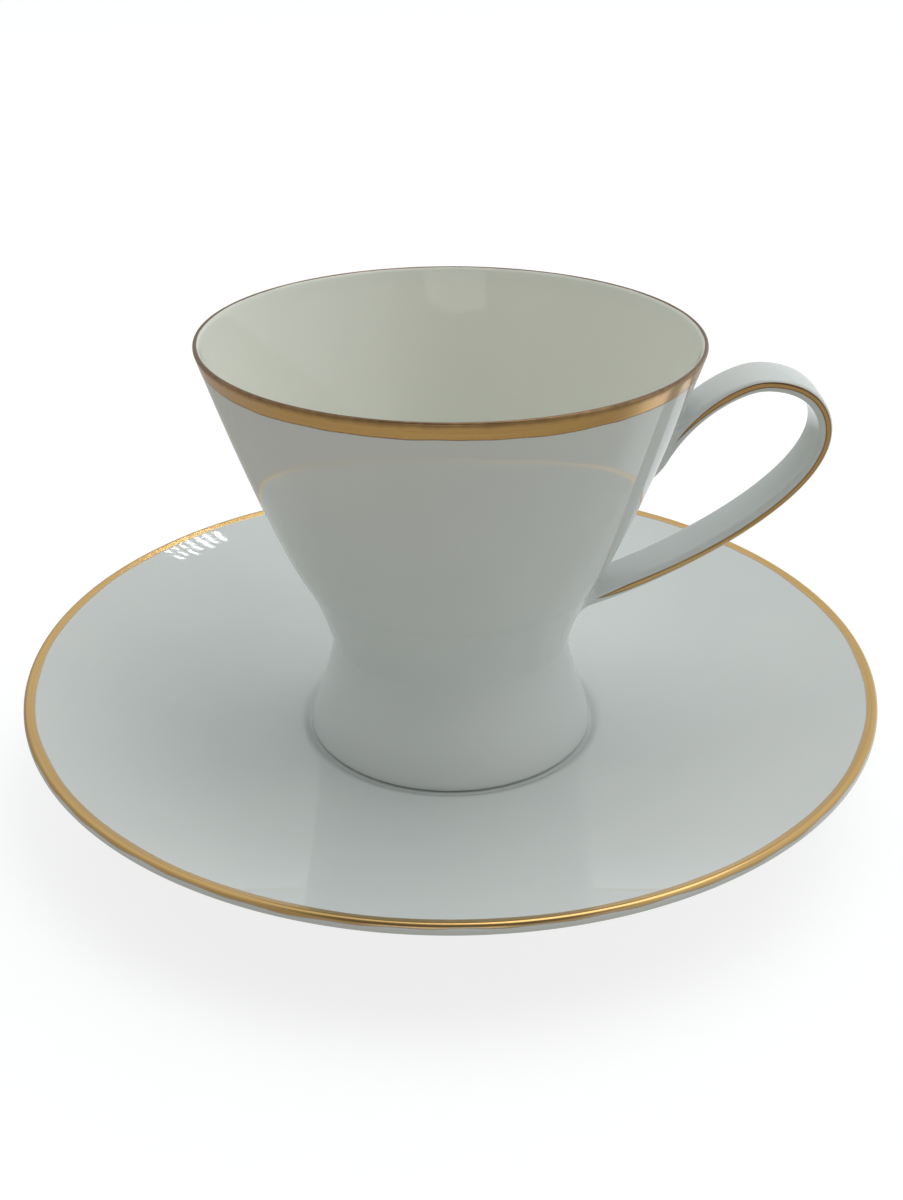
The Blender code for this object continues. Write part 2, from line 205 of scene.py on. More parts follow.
# Gold lines on the handle: where they start and stop as shares of the strap, how they lie on its edge, and
# how much browner their upward side is painted as a painted dark reflection
LINE_START = 0.085
LINE_STOP = 0.942
LINE_START_TAPER = 11.0 * MM
LINE_STOP_TAPER = 6.0 * MM
LINE_THINNEST = 0.02
LINE_TURN = math.radians(10.0)
LINE_DRIFT = math.radians(-26.0)
LINE_DRIFT_OUT = (0.12, 0.36)
LINE_DRIFT_BACK = (0.66, 0.92)
LINE_HALF_ANGLE = math.radians(37.0)
LINE_HALF_WIDTH = 0.60 * MM
LINE_FILM_LOW = -0.02 * MM
LINE_FILM_RISE = 0.035 * MM
LINE_FILM_TAPER = 0.08 * MM
LINE_FILM_SUNK = 0.06 * MM
LINE_WORN = 0.95
# this widens the brown edge where the gold faces up: a painted dark reflection, not wear
LINE_UPWARD_PAINTED_SHADE = 0.65
LINE_UPWARD_SHADE_GAIN = 2.5
LINE_COLUMNS = 15
LINE_ROWS = 260

# Facets round the turned pieces and their gold, steps along each curve, and spacing along the gold's paths
TURNS = 288
GOLD_TURNS = 2 * TURNS
WALL_STEPS = 90
LIP_STEPS = 14
INSIDE_STEPS = 46
FOOT_STEPS = 40
DISH_STEPS = 80
EDGE_STEPS = 24
UNDER_STEPS = 40
STRAP_STEPS = 60
WELL_STEPS = 16
RING_STEPS = 14
CORNER_STEPS = 6
TOE_STEPS = 8
FACE_STEPS = 4
FLAT_STEPS = 10
SAUCER_PATH_SPACING = 0.08 * MM
CUP_PATH_SPACING = 0.05 * MM

# Points nearer than this are one point
SAME_POINT = 1e-7

# ------------------------------------------------------------------ colours

GLAZE_SHADES = ((0.70, 0.735, 0.725), (0.735, 0.76, 0.75))
# the bowl's inside glaze is painted brighter and warmer than the outside: painted light
GLAZE_INSIDE_PAINTED_LIGHT = (0.80, 0.81, 0.738)
BISCUIT_SHADES = ((0.66, 0.65, 0.62), (0.76, 0.75, 0.72))
GOLD_SHADES = ((0.76, 0.47, 0.165), (0.86, 0.575, 0.235))
GOLD_BLOTCH = (0.80, 0.50, 0.22)
GOLD_COPPER = (0.80, 0.52, 0.34)
# brown of worn gold; on the handle's lines it also paints a dark reflection on the upward side
GOLD_BROWN_OF_WEAR_AND_SHADE = (0.20, 0.12, 0.07)
PAPER_SHADES = ((0.37, 0.37, 0.37), (0.39, 0.39, 0.39))
PAPER_GLOW = (0.99, 0.99, 1.0)


# ------------------------------------------------------------------ plane curves


def bezier(start, start_control, end_control, end, steps):
    t = np.linspace(0.0, 1.0, steps + 1)[:, None]
    a, b, c, d = (np.array(knot, float) for knot in (start, start_control, end_control, end))
    return a * (1 - t) ** 3 + b * 3 * t * (1 - t) ** 2 + c * 3 * t * t * (1 - t) + d * t ** 3


def line(start, end, steps):
    t = np.linspace(0.0, 1.0, steps + 1)[:, None]
    return np.array(start, float) * (1 - t) + np.array(end, float) * t


def step_from(point, angle, length):
    """The point that lies a length away, at an angle from outward towards up."""
    return (point[0] + length * math.cos(angle), point[1] + length * math.sin(angle))


def chain(*runs):
    """Runs of points joined end to end, without the doubled points where they meet."""
    joined = [np.atleast_2d(np.array(runs[0], float))]
    for run in runs[1:]:
        run = np.atleast_2d(np.array(run, float))
        if np.linalg.norm(run[0] - joined[-1][-1]) < SAME_POINT:
            run = run[1:]
        joined.append(run)
    return np.concatenate(joined)


def lengths_along(points):
    steps = np.linalg.norm(np.diff(points, axis=0), axis=1)
    return np.concatenate([[0.0], np.cumsum(steps)])


def resample(points, spacing):
    run = lengths_along(points)
    count = max(int(run[-1] / spacing), 2)
    wanted = np.linspace(0.0, run[-1], count + 1)
    return np.stack([np.interp(wanted, run, points[:, axis]) for axis in (0, 1)], axis=1)


def length_to(path, point):
    """How far along a path its nearest point to a given one is."""
    return float(lengths_along(path)[np.argmin(np.linalg.norm(path - point, axis=1))])


def normals_of(points):
    """Unit normals to the left of a run of points."""
    along = np.gradient(points, axis=0)
    along /= np.linalg.norm(along, axis=1)[:, None]
    return np.stack([-along[:, 1], along[:, 0]], axis=1)


def eased(value, start, stop):
    """A smooth rise from 0 at the start to 1 at the stop."""
    share = np.clip((value - start) / (stop - start), 0.0, 1.0)
    return share * share * (3 - 2 * share)


def turn_angles(turns):
    return np.arange(turns) * 2 * math.pi / turns


def smooth_noise(angles, seed, waves):
    """A gentle wander round the circle, mostly between -1 and 1."""
    chance = np.random.default_rng(seed)
    total = np.zeros_like(angles)
    for wave in waves:
        total += chance.normal() * np.cos(wave * angles + chance.uniform(0, 2 * math.pi))
    return total / math.sqrt(len(waves))


# ------------------------------------------------------------------ the profiles of the turned pieces


def bowl_outside():
    """From the lip's outer corner down to the waist."""
    lip = (LIP_RADIUS, LIP_HEIGHT - LIP_OUTER_DROP)
    knee = (KNEE_RADIUS, KNEE_HEIGHT)
    waist = (WAIST_RADIUS, WAIST_HEIGHT)
    down_lip = -math.pi / 2 - LIP_SLOPE
    down_knee = -math.pi / 2 - KNEE_SLOPE
    upper = bezier(lip, step_from(lip, down_lip, LIP_PULL),
                   step_from(knee, down_knee + math.pi, KNEE_PULL_UP), knee, WALL_STEPS)
    lower = bezier(knee, step_from(knee, down_knee, KNEE_PULL_DOWN),
                   (waist[0], waist[1] + WAIST_PULL_UP), waist, WALL_STEPS // 2)
    return chain(upper, lower)


def foot_flare():
    """From the waist down to the toe."""
    waist = (WAIST_RADIUS, WAIST_HEIGHT)
    toe = (FOOT_RADIUS, FOOT_PLANE + TOE_HEIGHT)
    return bezier(waist, (waist[0], waist[1] - WAIST_PULL_DOWN),
                  (toe[0] - TOE_INSET, toe[1] + TOE_PULL_UP), toe, FOOT_STEPS)


def foot_toe():
    """From the end of the flare round to the standing ring."""
    toe = (FOOT_RADIUS, FOOT_PLANE + TOE_HEIGHT)
    standing = (FOOT_RADIUS - TOE_FACE_INSET, FOOT_PLANE)
    return bezier(toe, (toe[0] + TOE_BULGE, toe[1] - TOE_PULL_DOWN),
                  (standing[0] + TOE_FACE_PULL, standing[1]), standing, TOE_STEPS)


def foot_inside():
    """From the standing ring's inner edge up under the bowl to the axis."""
    outside = foot_flare()
    wall = outside + normals_of(outside) * -FOOT_WALL
    wall = wall[::-1]
    wall = wall[wall[:, 1] > FOOT_PLANE + HOLLOW_EDGE_HEIGHT]
    standing = (FOOT_RADIUS - FOOT_WALL, FOOT_PLANE)
    edge = bezier(standing, (standing[0] - HOLLOW_EDGE_PULL_IN, standing[1]),
                  wall[0] - (0.0, HOLLOW_EDGE_PULL_DOWN), wall[0], CORNER_STEPS)
    ceiling = (WAIST_RADIUS - FOOT_WALL - HOLLOW_CEILING_INSET, WAIST_HEIGHT + HOLLOW_CEILING_RISE)
    side = wall[wall[:, 1] < WAIST_HEIGHT - HOLLOW_CORNER_DROP]
    corner = bezier(side[-1], side[-1] + HOLLOW_CORNER_PULL,
                    (ceiling[0] + HOLLOW_CEILING_PULL, ceiling[1]), ceiling, FLAT_STEPS)
    return chain(edge, side, corner, line(ceiling, (0.0, ceiling[1]), CORNER_STEPS))


def bowl_inside():
    """From the middle of the bowl's floor up to the lip."""
    floor = (0.0, BOWL_FLOOR)
    flank = (KNEE_RADIUS - BOWL_WALL, KNEE_HEIGHT + BOWL_FLANK_RISE)
    lip = (LIP_RADIUS - LIP_THICKNESS, LIP_HEIGHT - LIP_INNER_DROP)
    bottom = bezier(floor, (BOWL_FLOOR_PULL, BOWL_FLOOR),
                    step_from(flank, -math.pi / 2 - KNEE_SLOPE, BOWL_FLANK_PULL), flank, INSIDE_STEPS)
    wall = bezier(flank, step_from(flank, math.pi / 2 - KNEE_SLOPE, BOWL_FLANK_PULL),
                  step_from(lip, -math.pi / 2 - LIP_SLOPE, LIP_INSIDE_PULL), lip, INSIDE_STEPS)
    return chain(bottom, wall)


def lip_round():
    """Over the lip from the inside wall to the outside one."""
    inner = (LIP_RADIUS - LIP_THICKNESS, LIP_HEIGHT - LIP_INNER_DROP)
    outer = (LIP_RADIUS, LIP_HEIGHT - LIP_OUTER_DROP)
    return bezier(inner, step_from(inner, math.pi / 2 - LIP_SLOPE, LIP_ROUND_INNER_PULL),
                  step_from(outer, math.pi / 2 - LIP_SLOPE / 2, LIP_ROUND_OUTER_PULL), outer, LIP_STEPS)


def well_floor():
    """From the axis out over the well's floor and up its shoulder."""
    shoulder = (WELL_RADIUS + WELL_SHOULDER, WELL_FLOOR + WELL_DEPTH)
    corner = (WELL_RADIUS - WELL_CORNER_INSET, WELL_FLOOR)
    rise = bezier(corner, (corner[0] + WELL_CORNER_PULL, WELL_FLOOR),
                  step_from(shoulder, math.pi + WELL_RISE_ANGLE, WELL_RISE_PULL), shoulder, WELL_STEPS)
    return chain(line((0.0, WELL_FLOOR), corner, 2 * CORNER_STEPS), rise)


def dish_top():
    """The saucer's upper face from the well's shoulder to the gold's inner edge."""
    shoulder = (WELL_RADIUS + WELL_SHOULDER, WELL_FLOOR + WELL_DEPTH)
    rim = (EDGE_GILT_RADIUS, EDGE_GILT_HEIGHT)
    third = (rim[0] - shoulder[0]) / 3
    return bezier(shoulder, step_from(shoulder, WELL_SHOULDER_ANGLE, third),
                  step_from(rim, math.pi + DISH_ANGLE, third), rim, DISH_STEPS)


def saucer_edge():
    """From the gold's inner edge over the crest to the widest point."""
    rim = (EDGE_GILT_RADIUS, EDGE_GILT_HEIGHT)
    crest = (EDGE_GILT_RADIUS + EDGE_CREST_OUT, EDGE_GILT_HEIGHT + EDGE_CREST_RISE)
    widest = (GLAZE_RADIUS, EDGE_WIDEST)
    turn = bezier(crest, step_from(crest, DISH_ANGLE, EDGE_CREST_PULL),
                  (widest[0], widest[1] + EDGE_PULL_UP), widest, EDGE_STEPS)
    return chain(line(rim, crest, CORNER_STEPS), turn)


def saucer_underside():
    """From the widest point in to the top of the foot ring."""
    widest = (GLAZE_RADIUS, EDGE_WIDEST)
    tuck = (SAUCER_RADIUS - TUCK_INSET, EDGE_WIDEST - TUCK_DROP)
    ring = (RING_RADIUS + RING_FLARE, RING_TOP_HEIGHT)
    edge = bezier(widest, (widest[0], widest[1] - EDGE_PULL_DOWN),
                  step_from(tuck, UNDER_ANGLE, TUCK_PULL), tuck, UNDER_STEPS // 2)
    sweep = bezier(tuck, step_from(tuck, math.pi + UNDER_ANGLE, UNDER_PULL),
                   step_from(ring, RING_TOP_ANGLE, UNDER_PULL), ring, UNDER_STEPS)
    return chain(edge, sweep)


def foot_ring():
    """Down the saucer's foot ring, across its standing face and back to the axis."""
    inner_radius = RING_RADIUS - RING_WIDTH
    top = (RING_RADIUS + RING_FLARE, RING_TOP_HEIGHT)
    toe = (RING_RADIUS + RING_TOE_OUT, RING_TOE_HEIGHT)
    toe_face = (RING_RADIUS - RING_TOE_INSET, 0.0)
    heel_face = (inner_radius + RING_HEEL_INSET, 0.0)
    heel = (inner_radius - RING_HEEL_IN, RING_HEEL_HEIGHT)
    ceiling = (inner_radius - RING_FLARE, RING_HEIGHT)
    down = bezier(top, step_from(top, math.pi + RING_TOP_ANGLE, RING_TOP_PULL),
                  (toe[0] + RING_TOE_PULL_OUT, toe[1] + RING_TOE_PULL_UP), toe, RING_STEPS)
    toe_round = bezier(toe, (toe[0] - RING_ROUND_LEAN, RING_TOE_LOW),
                       (toe_face[0] + RING_FACE_PULL, 0.0), toe_face, CORNER_STEPS)
    heel_round = bezier(heel_face, (heel_face[0] - RING_FACE_PULL, 0.0),
                        (heel[0] + RING_ROUND_LEAN, RING_HEEL_LOW), heel, CORNER_STEPS)
    up = bezier(heel, (heel[0] - RING_INNER_PULL_IN, heel[1] + RING_INNER_PULL_UP),
                (ceiling[0] + RING_CEILING_PULL, ceiling[1]), ceiling, 2 * CORNER_STEPS)
    return chain(down, toe_round, line(toe_face, heel_face, FACE_STEPS), heel_round, up,
                 line(ceiling, (0.0, RING_HEIGHT), FLAT_STEPS))


# ------------------------------------------------------------------ meshes


def new_mesh_object(name, vertices, faces):
    mesh = bpy.data.meshes.new(name)
    mesh.from_pydata([tuple(v) for v in vertices], [], [tuple(f) for f in faces])
    mesh.validate()
    mesh.shade_smooth()
    piece = bpy.data.objects.new(name, mesh)
    bpy.context.scene.collection.objects.link(piece)
    return piece


def add_mark(piece, name, values):
    """A number for each vertex that the material reads."""
    layer = piece.data.attributes.new(name, "FLOAT", "POINT")
    layer.data.foreach_set("value", np.asarray(values, np.float32))


def add_film_marks(piece, **marks):
    """The same numbers on the upper and on the lower grid of a film."""
    for name, values in marks.items():
        add_mark(piece, name, np.concatenate([values.ravel()] * 2))


def lathe(name, profile, sway=None):
    """A profile from the axis round to the axis again, turned about Z into a closed mesh."""
    rows = profile[1:-1]
    angles = turn_angles(TURNS)
    radius = rows[:, 0][:, None] * np.ones(TURNS)
    height = rows[:, 1][:, None] * np.ones(TURNS)
    if sway is not None:
        radius = radius + sway(rows, angles)
    ring = np.stack([radius * np.cos(angles), radius * np.sin(angles), height], axis=2)
    start, end = [0.0, 0.0, profile[0, 1]], [0.0, 0.0, profile[-1, 1]]
    vertices = np.concatenate([[start], ring.reshape(-1, 3), [end]])
    count = len(rows)
    last = 1 + (count - 1) * TURNS
    faces = []
    for turn in range(TURNS):
        following = (turn + 1) % TURNS
        faces.append((0, 1 + turn, 1 + following))
        faces.append((len(vertices) - 1, last + following, last + turn))
    for row in range(count - 1):
        base = 1 + row * TURNS
        for turn in range(TURNS):
            following = (turn + 1) % TURNS
            faces.append((base + turn, base + TURNS + turn, base + TURNS + following, base + following))
    return new_mesh_object(name, vertices, faces)


def row_marks(values):
    """One value for each profile point, spread over the lathe's vertices."""
    return np.concatenate([[values[0]], np.repeat(values[1:-1], TURNS), [values[-1]]])


def shell_faces(rows, columns, closed):
    """The quads of a thin shell: an upper grid, a lower grid after it, and the sides between them."""
    below = rows * columns
    faces = []
    for row in range(rows if closed else rows - 1):
        a = row * columns
        b = (row + 1) % rows * columns
        for step in range(columns - 1):
            upper = (a + step, a + step + 1, b + step + 1, b + step)
            faces.append(upper)
            faces.append(tuple(below + corner for corner in reversed(upper)))
        end_a = a + columns - 1
        end_b = b + columns - 1
        faces.append((a, b, below + b, below + a))
        faces.append((end_b, end_a, below + end_a, below + end_b))
    if not closed:
        last = (rows - 1) * columns
        for step in range(columns - 1):
            faces.append((step + 1, step, below + step, below + step + 1))
            faces.append((last + step, last + step + 1, below + last + step + 1, below + last + step))
    return faces


def film_band(name, path, begin, end, proud, sunk, taper, columns, worn_begin):
    """A closed film of gold round the axis over a stretch of profile.

    begin and end give, for each angle, where the stretch starts and stops, as lengths along
    the path.  The film stands proud of the glaze and dips under it at both edges, so that its
    visible edge is where it meets the glaze.  A worn_begin below 1 widens the worn, brown
    stretch along the first edge.
    """
    run = lengths_along(path)
    outward = normals_of(path)
    cosines, sines = (function(turn_angles(len(begin)))[:, None] for function in (np.cos, np.sin))
    share = np.linspace(0.0, 1.0, columns)
    place = begin[:, None] * (1 - share) + end[:, None] * share
    width = (end - begin)[:, None]
    from_edge = np.minimum(share * width, (1 - share) * width)
    rise = -sunk / 3 + (proud + sunk / 3) * np.clip(from_edge / taper, 0, 1) ** 0.5
    r, z = (np.interp(place, run, path[:, axis]) for axis in (0, 1))
    normal_r, normal_z = (np.interp(place, run, outward[:, axis]) for axis in (0, 1))
    layers = []
    for lift in (rise, -sunk):
        radius = r + normal_r * lift
        height = z + normal_z * lift
        layers.append(np.stack([radius * cosines, radius * sines, height], axis=2))
    vertices = np.concatenate([layer.reshape(-1, 3) for layer in layers])
    piece = new_mesh_object(name, vertices, shell_faces(len(begin), columns, True))
    worn = np.minimum(share * width * worn_begin, (1 - share) * width)
    add_film_marks(piece, from_edge=from_edge, worn=worn, across=place)
    return piece


# ------------------------------------------------------------------ materials


def opaque(colour):
    return (*colour, 1.0)


def toned(colour, tone):
    return tuple(channel * tone for channel in colour)


class Nodes:
    """Short calls for building the nodes of a material or of the world."""

    def __init__(self, owner):
        owner.use_nodes = True
        self.tree = owner.node_tree

    def add(self, kind, **settings):
        node = self.tree.nodes.new(kind)
        for key, value in settings.items():
            setattr(node, key, value)
        return node

    def link(self, source, target):
        self.tree.links.new(source, target)

    def put(self, value, socket):
        """Another node's output linked to a socket, or a plain value set on it."""
        if isinstance(value, bpy.types.NodeSocket):
            self.link(value, socket)
        else:
            socket.default_value = value

    def place(self, kind="Object"):
        return self.add("ShaderNodeTexCoord").outputs[kind]

    def mark(self, name):
        return self.add("ShaderNodeAttribute", attribute_name=name).outputs["Fac"]

    def noise(self, vector, scale, detail, roughness=0.5):
        node = self.add("ShaderNodeTexNoise")
        node.inputs["Scale"].default_value = scale
        node.inputs["Detail"].default_value = detail
        node.inputs["Roughness"].default_value = roughness
        self.link(vector, node.inputs["Vector"])
        return node.outputs["Fac"]

    def ranged(self, value, between, onto, kind="LINEAR"):
        """A value's way from one number to another, carried over onto another pair of numbers."""
        node = self.add("ShaderNodeMapRange", interpolation_type=kind)
        self.link(value, node.inputs["Value"])
        for key, number in zip(("From Min", "From Max", "To Min", "To Max"), (*between, *onto)):
            node.inputs[key].default_value = number
        return node.outputs["Result"]

    def math(self, operation, *values):
        node = self.add("ShaderNodeMath", operation=operation)
        for socket, value in zip(node.inputs, values):
            self.put(value, socket)
        return node.outputs[0]

    def vector_math(self, operation, first, second):
        node = self.add("ShaderNodeVectorMath", operation=operation)
        self.put(first, node.inputs[0])
        self.put(second, node.inputs[1])
        return node.outputs["Value" if operation == "DOT_PRODUCT" else "Vector"]

    def part(self, vector, axis):
        node = self.add("ShaderNodeSeparateXYZ")
        self.link(vector, node.inputs[0])
        return node.outputs[axis]

    def upward(self, value):
        """A vector along Z as long as a value says."""
        node = self.add("ShaderNodeCombineXYZ")
        self.link(value, node.inputs["Z"])
        return node.outputs[0]

    def mix(self, factor, first, second):
        """Two colours mixed; the node has a like-named pair of sockets for each kind of value."""
        node = self.add("ShaderNodeMix", data_type="RGBA")
        colour_sockets = [socket for socket in node.inputs if socket.type == "RGBA"]
        self.link(factor, node.inputs["Factor"])
        for socket, value in zip(colour_sockets, (first, second)):
            self.put(opaque(value) if isinstance(value, tuple) else value, socket)
        return next(socket for socket in node.outputs if socket.type == "RGBA")

    def bump(self, height, strength, distance, after=None):
        node = self.add("ShaderNodeBump")
        node.inputs["Strength"].default_value = strength
        node.inputs["Distance"].default_value = distance
        self.link(height, node.inputs["Height"])
        if after is not None:
            self.link(after, node.inputs["Normal"])
        return node.outputs["Normal"]


def new_material(name):
    """A material, the calls that build its nodes, and its shader's inputs."""
    material = bpy.data.materials.new(name)
    n = Nodes(material)
    return material, n, n.tree.nodes["Principled BSDF"].inputs


def porcelain(name):
    """Clear glaze over cool white porcelain, bare and matt where a piece stands on its foot; the bowl's
    inside is painted brighter and warmer as painted light.
    """
    material, n, shader = new_material(name)
    place = n.place()
    cloud = n.noise(place, scale=28.0, detail=3.0)
    colour = n.mix(n.ranged(cloud, (0.35, 0.65), (0.0, 1.0)), *GLAZE_SHADES)
    # painted light: the inside of the bowl gets a brighter, warmer colour than the outside of the same
    # glaze
    colour = n.mix(n.mark("inside"), colour, GLAZE_INSIDE_PAINTED_LIGHT)
    bare = n.mark("bare")
    grain = n.noise(place, scale=2600.0, detail=4.0, roughness=0.7)
    colour = n.mix(bare, colour, n.mix(grain, *BISCUIT_SHADES))
    rough = n.ranged(n.noise(place, scale=90.0, detail=2.0), (0.3, 0.7), (0.012, 0.03))
    rough = n.math("ADD", rough, n.math("MULTIPLY", bare, 0.6))
    n.link(colour, shader["Base Color"])
    n.link(rough, shader["Roughness"])
    shader["IOR"].default_value = 1.52
    shader["Subsurface Weight"].default_value = 0.12
    shader["Subsurface Radius"].default_value = (1.0, 0.85, 0.7)
    shader["Subsurface Scale"].default_value = 1.2 * MM
    ripple = n.bump(n.noise(place, scale=60.0, detail=1.0), strength=0.3, distance=0.06 * MM)
    pits = n.bump(n.noise(place, scale=420.0, detail=1.0), strength=0.06, distance=0.012 * MM, after=ripple)
    n.link(pits, shader["Normal"])
    return material


def gold(name, tone, thin_colour, thin_width=0.22 * MM, brown=1.0, copper=0.0):
    """Burnished gold brushed on by hand, with fine streaks along the line.

    tone darkens it as a whole.  Within thin_width of an edge it fades to thin_colour, brown says
    how strongly it turns brown along the edge, and copper how red it is far out along X, on either side.
    That brown is wear, and on the handle's lines it is also a painted dark reflection, widened on their
    upward side.
    """
    streaks_along, streaks_across = 60.0, 5200.0
    material, n, shader = new_material(name)
    place = n.place()
    along = n.vector_math("MULTIPLY", place, (streaks_along,) * 3)
    lines = n.upward(n.math("MULTIPLY", n.mark("across"), streaks_across))
    streak = n.noise(n.vector_math("ADD", along, lines), scale=1.0, detail=3.0, roughness=0.6)
    blotch = n.noise(place, scale=160.0, detail=3.0)
    dark, light = (toned(shade, tone) for shade in GOLD_SHADES)
    colour = n.mix(n.ranged(streak, (0.3, 0.7), (0.0, 1.0)), dark, light)
    colour = n.mix(n.ranged(blotch, (0.35, 0.7), (0.0, 0.5)), colour, toned(GOLD_BLOTCH, tone))
    side = n.math("ABSOLUTE", n.part(place, "X"))
    colour = n.mix(n.ranged(side, (22.0 * MM, 42.0 * MM), (0.0, copper)), colour, GOLD_COPPER)

    ragged = n.math("MULTIPLY", n.noise(place, scale=700.0, detail=2.0), 0.14 * MM)
    # brown along the gold's edges: wear, and on the handle's lines a painted dark reflection on the upward
    # side
    worn = n.math("ADD", n.mark("worn"), ragged)
    edge = n.ranged(worn, (0.18 * MM, 0.42 * MM), (brown, 0.0))
    colour = n.mix(edge, colour, GOLD_BROWN_OF_WEAR_AND_SHADE)
    film = n.ranged(n.math("ADD", n.mark("from_edge"), ragged), (0.08 * MM, thin_width), (1.0, 0.0))
    colour = n.mix(film, colour, thin_colour)
    n.link(colour, shader["Base Color"])
    n.link(n.math("SUBTRACT", 1.0, n.math("MULTIPLY", film, 0.75)), shader["Metallic"])
    rough = n.ranged(streak, (0.3, 0.7), (0.15, 0.19))
    n.link(n.math("ADD", rough, n.math("MULTIPLY", edge, 0.15)), shader["Roughness"])
    n.link(n.bump(streak, strength=0.015, distance=0.01 * MM), shader["Normal"])
    return material


# ------------------------------------------------------------------ the saucer


def make_saucer():
    profile = chain(well_floor(), dish_top(), saucer_edge(), saucer_underside(), foot_ring())
    saucer = lathe("saucer_porcelain", profile)
    bare = (profile[:, 1] < SAUCER_BARE_HEIGHT).astype(float)
    add_mark(saucer, "bare", row_marks(bare))
    add_mark(saucer, "inside", row_marks(np.zeros(len(profile))))
    saucer.data.materials.append(porcelain("saucer_glaze"))
    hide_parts("saucer_plate")
    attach(saucer, "saucer")


def make_saucer_line():
    """The gold line over the saucer's crest, from the dish to just above the widest point."""
    path = resample(chain(dish_top(), saucer_edge(), saucer_underside()), SAUCER_PATH_SPACING)
    angles = turn_angles(GOLD_TURNS)
    begin = length_to(path, (EDGE_GILT_RADIUS, EDGE_GILT_HEIGHT))
    begin = begin + SAUCER_GOLD_WANDER[0] * smooth_noise(angles, 3, (2, 5, 9, 17, 31))
    end = length_to(path, (GLAZE_RADIUS, EDGE_WIDEST)) - SAUCER_GOLD_STOP
    end = end + SAUCER_GOLD_WANDER[1] * smooth_noise(angles, 4, (3, 7, 13, 29, 47))
    band = film_band("saucer_gold_line", path, begin, end, proud=0.02 * MM, sunk=0.06 * MM,
                     taper=0.12 * MM, columns=22, worn_begin=1.0)
    band.data.materials.append(gold("saucer_gold", tone=0.83, thin_colour=(0.60, 0.52, 0.46),
                                    thin_width=0.45 * MM, brown=0.12))
    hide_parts("saucer_rim_gilding")
    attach(band, "saucer")


# ------------------------------------------------------------------ the cup


def wall_sway(rows, angles):
    """A few hundredths of a millimetre that the thin wall warped in the kiln."""
    share = np.clip((rows[:, 1] - KNEE_HEIGHT) / (LIP_HEIGHT - KNEE_HEIGHT), 0.0, 1.0)[:, None]
    return KILN_WARP * np.sin(share * math.pi) * smooth_noise(angles, 11, (3, 5, 8, 13, 21))[None, :]


def make_cup():
    """The bowl and its foot as one glazed surface."""
    profile = chain(bowl_inside(), lip_round(), bowl_outside(), foot_flare(), foot_toe(), foot_inside())
    cup = lathe("cup_porcelain", profile, wall_sway)
    inside = np.zeros(len(profile))
    # the rows inside the bowl, which the glaze paints brighter and warmer as painted light
    inside[:len(bowl_inside()) + LIP_STEPS // 2 - 1] = 1.0
    bare = (profile[:, 1] < FOOT_PLANE + CUP_BARE_HEIGHT).astype(float)
    add_mark(cup, "bare", row_marks(bare))
    add_mark(cup, "inside", row_marks(inside))
    cup.data.materials.append(porcelain("cup_glaze"))
    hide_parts("cup_bowl", "cup_foot")
    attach(cup, "cup")


def make_lip_line():
    """The gold line from the top of the lip down the outside."""
    path = resample(chain(bowl_inside(), lip_round(), bowl_outside()), CUP_PATH_SPACING)
    run = lengths_along(path)
    crest = np.argmax(path[:, 1])
    after_crest = np.arange(len(path)) > crest
    from_low = np.abs(path[after_crest, 1] - (LIP_HEIGHT - LIP_GOLD_DROP))
    low = float(run[after_crest][np.argmin(from_low)])
    angles = turn_angles(GOLD_TURNS)
    begin = float(run[crest]) - LIP_GOLD_OVERLAP
    begin = begin + LIP_GOLD_WANDER[0] * smooth_noise(angles, 5, (4, 9, 15, 33))
    end = low + LIP_GOLD_WANDER[1] * smooth_noise(angles, 6, (2, 5, 11, 23, 41))
    band = film_band("cup_gold_line", path, begin, end, proud=0.015 * MM, sunk=0.05 * MM,
                     taper=0.1 * MM, columns=26, worn_begin=0.2)
    band.data.materials.append(gold("cup_gold", tone=0.88, thin_colour=(0.50, 0.41, 0.35), copper=0.75))
    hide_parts("cup_rim_gilding")
    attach(band, "cup")


# ------------------------------------------------------------------ the handle


def strap_line():
    """The strap's middle line, from inside the bowl's wall at the top round to the lower root."""
    before_peak = (STRAP_PEAK[0] - STRAP_PEAK_PULL_IN, STRAP_PEAK[1])
    after_peak = (STRAP_PEAK[0] + STRAP_PEAK_PULL_OUT, STRAP_PEAK[1])
    before_reach = (STRAP_REACH[0], STRAP_REACH[1] + STRAP_REACH_PULL_UP)
    after_reach = (STRAP_REACH[0], STRAP_REACH[1] - STRAP_REACH_PULL_DOWN)
    rise = step_from(STRAP_TOP_ROOT, STRAP_TOP_SLOPE, STRAP_TOP_PULL)
    landing = step_from(STRAP_LOW_ROOT, STRAP_LOW_SLOPE, STRAP_LOW_PULL)
    start = step_from(STRAP_TOP_ROOT, STRAP_TUCK_SLOPE, -STRAP_TUCK)
    end = step_from(STRAP_LOW_ROOT, STRAP_LOW_SLOPE, -STRAP_LOW_TUCK)
    tuck = bezier(start, step_from(start, STRAP_TUCK_PULL_SLOPE, STRAP_TUCK_PULL),
                  step_from(STRAP_TOP_ROOT, STRAP_TOP_SLOPE, -STRAP_TUCK_PULL), STRAP_TOP_ROOT, FLAT_STEPS)
    return resample(chain(tuck,
                          bezier(STRAP_TOP_ROOT, rise, before_peak, STRAP_PEAK, STRAP_STEPS),
                          bezier(STRAP_PEAK, after_peak, before_reach, STRAP_REACH, STRAP_STEPS),
                          bezier(STRAP_REACH, after_reach, landing, STRAP_LOW_ROOT, STRAP_STEPS),
                          line(STRAP_LOW_ROOT, end, TOE_STEPS)), STRAP_SPACING)


def smooth_line(points, rounds):
    """Evens out the joins between the line's stretches, its ends staying put."""
    evened = points.copy()
    for _ in range(rounds):
        evened[1:-1] = (evened[:-2] + 2 * evened[1:-1] + evened[2:]) / 4
    return evened


